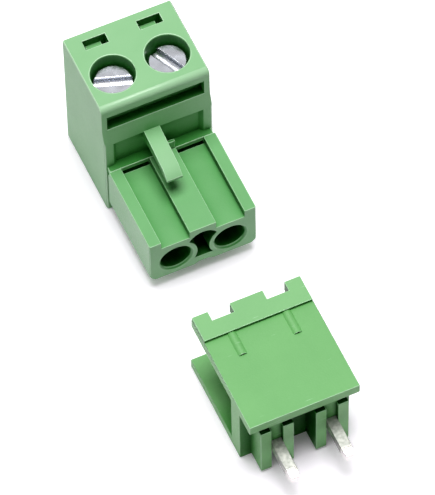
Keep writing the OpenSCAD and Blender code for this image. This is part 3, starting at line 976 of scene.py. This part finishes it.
def thread_tree() -> bpy.types.GeometryNodeTree:
    """Make, once, the tree that winds a V-shaped ridge into a right-hand helix and joins it to a screw.

    Returns:
        The tree, with an input for each of the thread's sizes.
    """
    name = "screw_thread"
    if name in bpy.data.node_groups:
        return bpy.data.node_groups[name]
    tree = bpy.data.node_groups.new(name, "GeometryNodeTree")
    tree.interface.new_socket("Geometry", in_out="OUTPUT", socket_type="NodeSocketGeometry")
    for label, kind in (
        ("Geometry", "Geometry"),
        ("Pitch", "Float"),
        ("Turns", "Float"),
        ("Steps", "Int"),
        ("Root Radius", "Float"),
        ("Depth", "Float"),
        ("Flank", "Float"),
        ("Foot", "Vector"),
        ("Finish", "Material"),
    ):
        tree.interface.new_socket(label, in_out="INPUT", socket_type=f"NodeSocket{kind}")
    given = add(tree, "NodeGroupInput").outputs
    height = add(tree, "ShaderNodeMath", {0: given["Pitch"], 1: given["Turns"]}, operation="MULTIPLY")
    helix = add(
        tree,
        "GeometryNodeCurveSpiral",
        {
            "Resolution": given["Steps"],
            "Rotations": given["Turns"],
            "Start Radius": given["Root Radius"],
            "End Radius": given["Root Radius"],
            "Height": height.outputs[0],
        },
    )
    upright = add(tree, "GeometryNodeSetCurveNormal", {"Curve": helix.outputs[0]}, mode="Z_UP")
    # The inner half of the kite lies in the shank, the outer half is the ridge
    width = add(tree, "ShaderNodeMath", {0: given["Depth"], 1: 2.0}, operation="MULTIPLY")
    ridge = add(
        tree,
        "GeometryNodeCurvePrimitiveQuadrilateral",
        {"Width": width.outputs[0], "Top Height": given["Flank"], "Bottom Height": given["Flank"]},
        mode="KITE",
    )
    swept = add(
        tree,
        "GeometryNodeCurveToMesh",
        {"Curve": upright.outputs[0], "Profile Curve": ridge.outputs[0], "Fill Caps": True},
    )
    placed = add(
        tree,
        "GeometryNodeTransform",
        {"Geometry": swept.outputs[0], "Translation": given["Foot"]},
    )
    joined = add(tree, "GeometryNodeJoinGeometry", {"Geometry": placed.outputs[0]})
    tree.links.new(given["Geometry"], joined.inputs["Geometry"])
    real = add(tree, "GeometryNodeRealizeInstances", {"Geometry": joined.outputs[0]})
    painted = add(
        tree,
        "GeometryNodeSetMaterial",
        {"Geometry": real.outputs[0], "Material": given["Finish"]},
    )
    add(tree, "NodeGroupOutput", {"Geometry": painted.outputs[0]})
    return tree


@dataclass
class ClampPole:
    """The metal of one pole of the plug: a screw, and a rising cage and a contact bent from sheet."""

    pole: Pole
    sheet: EdgeRounding = EdgeRounding(radius_mm=0.06, segments=2)
    cage_ring_mm: float = 0.4
    cage_ring_depth_mm: float = 0.001

    def build(self) -> list[Object]:
        """Make and dress the pole's three pieces.

        Returns:
            The finished pieces.
        """
        side = self.pole.value
        cage_low, cage_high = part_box(f"clamp_cage_{side}")
        cage = self.sheet.copy_of(f"clamp_cage_{side}", f"{side}_cage")
        # The sheet is plated as the screws are, over broader and fainter marks
        plating = TurnedZincSteel(
            f"{side}_cage_zinc_steel",
            (cage_low + cage_high) / 2,
            ring_mm=self.cage_ring_mm,
            ring_depth_mm=self.cage_ring_depth_mm,
        )
        contact = self.sheet.copy_of(f"contact_{side}", f"{side}_contact")
        tin = DrawnTin(f"{side}_contact_tin")
        return [
            ClampScrew(self.pole).build(),
            dress(cage, plating.material(), f"clamp_cage_{side}", f"{side}_cage"),
            dress(contact, tin.material(), f"contact_{side}", "plug"),
        ]


@dataclass
class ScrewPlug:
    """The plug: screw block and nose, two mouldings, with the metal of both poles inside."""

    # The block's pale edge colour is a painted highlight, and its crevice values set its painted shade
    block_finish: MouldedPolyamide = MouldedPolyamide(
        "block_green_polyamide",
        deep="#86C086",
        pale="#96CC95",
        edge="#C0E8C0",
        crevice_mm=4.5,
        lit_painted_shade=0.6,
        ior=1.42,
    )
    # The nose's greens are deeper than the block's: painted shade of the nose, which lies lower than the
    # block
    nose_finish: MouldedPolyamide = MouldedPolyamide(
        "nose_green_polyamide",
        deep="#65AB66",
        pale="#72B872",
        crevice_painted_shade=3.6,
        lit_painted_shade=0.8,
        smooth=0.34,
        matt=0.46,
    )
    rounding: EdgeRounding = EdgeRounding(radius_mm=0.06)

    def build(self) -> list[Object]:
        """Make and dress the plug's pieces.

        Returns:
            The finished pieces.
        """
        block = self.rounding.copy_of("plug_block", "screw_block")
        nose = self.rounding.copy_of("plug_nose", "contact_nose")
        made = [
            dress(block, self.block_finish.material(), "plug_block", "plug"),
            dress(nose, self.nose_finish.material(), "plug_nose", "plug"),
        ]
        for pole in Pole:
            made += ClampPole(pole).build()
        return made


@dataclass
class PinHeader:
    """The header: a moulded housing, open at both ends, with two tinned pins.

    Attributes:
        finish: The finish of the housing.
        rounding: How the housing's edges are rounded.
        pin_rounding: How the pins' edges are rounded.
        lip_mm: Depth to which the raised lip is rubbed.
        bright_tip_mm: Length of a solder tail's tip that is left bright.
        between_mm: How far the painted shade on a tail runs in between the feet.
    """

    # The housing's finish paints shade into its crevices and a highlight on its edges, and scuffs its roof
    finish: MouldedPolyamide = MouldedPolyamide(
        "header_green_polyamide",
        deep="#6AB064",
        pale="#78BE70",
        crevice_mm=3.6,
        crevice_painted_shade=4.2,
        scuffed=0.7,
    )
    rounding: EdgeRounding = EdgeRounding(radius_mm=0.06, fillet_mm=0.0)
    pin_rounding: EdgeRounding = EdgeRounding(radius_mm=0.06)
    lip_mm: float = 0.15
    bright_tip_mm: float = 0.98
    between_mm: float = 0.82

    def build(self) -> list[Object]:
        """Make and dress the header's pieces.

        Returns:
            The finished pieces.
        """
        housing = self.rounding.copy_of("header_housing", "header_shell")
        low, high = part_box("header_housing")
        # The raised lip, which the latch slides over, is the highest part of the housing
        finish = replace(self.finish, proud_mm=high.z / MM - self.lip_mm)
        made = [dress(housing, finish.material(), "header_housing", "header")]
        # A tail is painted darker, as shade, from a little behind its tip to a little way in between the
        # feet
        tip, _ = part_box("header_pin_left")
        shade_span = {"shade_from_mm": tip.y / MM + self.bright_tip_mm, "shade_to_mm": low.y / MM + self.between_mm}
        tin = DrawnTin("pin_tin", **shade_span).material()
        for pole in Pole:
            node = f"header_pin_{pole.value}"
            pin = self.pin_rounding.copy_of(node, f"{pole.value}_pin")
            made.append(dress(pin, tin, node, "header"))
        return made


@dataclass(frozen=True)
class PhotoCamera:
    """The camera of the photograph, fitted to the outlines of the plug and the header.

    The azimuth runs from the front round to the right, and the focal length is in the photograph's pixels.
    """

    eye_mm: tuple[float, float, float] = (-108.955, -251.956, 430.322)
    azimuth_deg: float = -23.3626
    elevation_deg: float = 56.9774
    twist_deg: float = -1.2872
    focal_px: float = 5939.07
    sensor_mm: float = 36.0
    near_m: float = 0.01
    far_m: float = 50.0

    def build(self) -> Object:
        """Make the camera and look through it.

        Returns:
            The camera object.
        """
        a, e = math.radians(self.azimuth_deg), math.radians(self.elevation_deg)
        back = Vector((math.sin(a) * math.cos(e), -math.cos(a) * math.cos(e), math.sin(e)))
        level = Vector((math.cos(a), math.sin(a), 0))
        right = Matrix.Rotation(math.radians(self.twist_deg), 3, back) @ level
        axes = Matrix((right, back.cross(right), back)).transposed()
        lens = bpy.data.cameras.new("photo_camera")
        lens.sensor_width = self.sensor_mm
        lens.lens = self.focal_px / max(PHOTO_SIZE) * self.sensor_mm
        lens.clip_start = self.near_m
        lens.clip_end = self.far_m
        camera = bpy.data.objects.new("photo_camera", lens)
        camera.matrix_world = Matrix.Translation(Vector(self.eye_mm) * MM) @ axes.to_4x4()
        bpy.context.scene.collection.objects.link(camera)
        bpy.context.scene.camera = camera
        return camera


@dataclass(frozen=True)
class Softbox:
    """One large soft lamp: its place and width in metres, and its power in watts."""

    name: str
    place: tuple[float, float, float]
    size: float
    power: float

    def build(self) -> Object:
        """Hang the lamp and aim it at the middle of the object.

        Returns:
            The lamp object.
        """
        lamp = bpy.data.lights.new(self.name, "AREA")
        lamp.shape = "DISK"
        lamp.size = self.size
        lamp.energy = self.power
        hung = bpy.data.objects.new(self.name, lamp)
        hung.location = self.place
        hung.rotation_euler = Vector(self.place).to_track_quat("Z", "Y").to_euler()
        bpy.context.scene.collection.objects.link(hung)
        return hung


@dataclass(frozen=True)
class Studio:
    """Pale floor, white surroundings and a soft lamp.

    Attributes:
        floor_hex: Colour of the floor.
        floor_size: Width of the floor in metres.
        floor_shine: How much brighter the floor is in reflections.
        floor_glow: Light that the floor adds for the camera alone, with a painted contact shadow where it
            is close to the object.
        contact_mm: How far the painted contact shadow reaches round the object.
        sky_hex: Colour of the surroundings.
        front_light: Strength of the surroundings at the front.
        back_light: Strength of the surroundings at the back.
        sky_turn: How far to the front and to the back, from 0 to 1, the strength changes.
        sky_shine: Strength of the surroundings in reflections.
        key: The lamp.
    """

    floor_hex: str = "#F1EAF4"
    floor_size: float = 6.0
    floor_shine: float = 1.7
    floor_glow: float = 0.62
    contact_mm: float = 8.0
    sky_hex: str = "#FFFFFF"
    front_light: float = 0.0
    back_light: float = 0.14
    sky_turn: float = 0.6
    sky_shine: float = 0.55
    key: Softbox = Softbox("key_softbox", place=(0.0, 0.04, 0.7), size=0.45, power=5.4)

    def build(self) -> None:
        """Lay the floor, light the surroundings and hang the lamp."""
        scene = bpy.context.scene
        scene.view_settings.view_transform = "Standard"
        self.lay_floor(scene)
        self.light_sky(scene)
        self.key.build()

    def by_ray(self, tree: Tree, lights: Socket | float, shines: float, shows: float) -> Socket:
        """Choose a value by what a ray is for.

        Args:
            tree: The tree that asks.
            lights: The value for rays that light the object.
            shines: The value for rays that glossy and clear surfaces send out.
            shows: The value for rays from the camera.

        Returns:
            A socket with the value.
        """
        path = add(tree, "ShaderNodeLightPath").outputs
        clear = add(
            tree,
            "ShaderNodeMath",
            {0: path["Is Glossy Ray"], 1: path["Is Transmission Ray"]},
            operation="MAXIMUM",
        )
        sent = add(
            tree,
            "ShaderNodeMix",
            {Mix.SHARE: clear.outputs[0], Mix.VALUE_A: lights, Mix.VALUE_B: shines},
        )
        chosen = add(
            tree,
            "ShaderNodeMix",
            {Mix.SHARE: path["Is Camera Ray"], Mix.VALUE_A: sent.outputs[0], Mix.VALUE_B: shows},
        )
        return chosen.outputs[0]

    def lay_floor(self, scene: bpy.types.Scene) -> None:
        """Make the floor, which the camera sees lit to white, with its own shadows and a painted soft
        contact shadow round the object.

        Args:
            scene: The scene that gets the floor.
        """
        # To the eye: matt white paper
        made, tree = blank_material("studio_paper")
        gain = self.by_ray(tree, lights=1.0, shines=self.floor_shine, shows=1.0)
        colour = add(
            tree,
            "ShaderNodeVectorMath",
            {0: linear(self.floor_hex)[:3], "Scale": gain},
            operation="SCALE",
        )
        paper = add(tree, "ShaderNodeBsdfDiffuse", {"Color": colour.outputs[0]})
        # Painted contact shadow: the glow that the camera sees is darker close to the object
        contact = add(
            tree,
            "ShaderNodeAmbientOcclusion",
            {"Distance": self.contact_mm * MM},
            samples=OCCLUSION_RAYS,
        )
        seen = self.by_ray(tree, lights=0.0, shines=0.0, shows=self.floor_glow)
        glow = add(tree, "ShaderNodeEmission", {"Color": contact.outputs["Color"], "Strength": seen})
        shader = add(tree, "ShaderNodeAddShader", {0: paper.outputs[0], 1: glow.outputs[0]})
        add(tree, "ShaderNodeOutputMaterial", {"Surface": shader.outputs[0]})
        half = self.floor_size / 2
        corners = [(-half, -half, 0), (half, -half, 0), (half, half, 0), (-half, half, 0)]
        mesh = bpy.data.meshes.new("studio_floor")
        mesh.from_pydata(corners, [], [(0, 1, 2, 3)])
        mesh.materials.append(made)
        floor = bpy.data.objects.new("studio_floor", mesh)
        scene.collection.objects.link(floor)

    def light_sky(self, scene: bpy.types.Scene) -> None:
        """Surround the object with white that lights it softly, less from the camera's side.

        Args:
            scene: The scene that gets the world.
        """
        world = bpy.data.worlds.new("studio_white")
        world.use_nodes = True
        tree = world.node_tree
        tree.nodes.clear()
        direction = add(tree, "ShaderNodeTexCoord").outputs["Generated"]
        soft = add(
            tree,
            "ShaderNodeMapRange",
            {
                "Value": add(tree, "ShaderNodeSeparateXYZ", {0: direction}).outputs["Y"],
                "From Min": -self.sky_turn,
                "From Max": self.sky_turn,
                "To Min": self.front_light,
                "To Max": self.back_light,
            },
        )
        strength = self.by_ray(tree, lights=soft.outputs[0], shines=self.sky_shine, shows=1.0)
        sky = add(tree, "ShaderNodeBackground", {"Color": linear(self.sky_hex), "Strength": strength})
        add(tree, "ShaderNodeOutputWorld", {"Surface": sky.outputs[0]})
        scene.world = world


def main() -> None:
    """Build the plug, the header, the studio and the camera."""
    logging.basicConfig(level=logging.INFO, format="%(name)s: %(message)s")
    made = ScrewPlug().build() + PinHeader().build()
    Studio().build()
    PhotoCamera().build()
    log.info("%d pieces, %d faces", len(made), sum(len(p.data.polygons) for p in made))


if __name__ == "__main__":
    main()
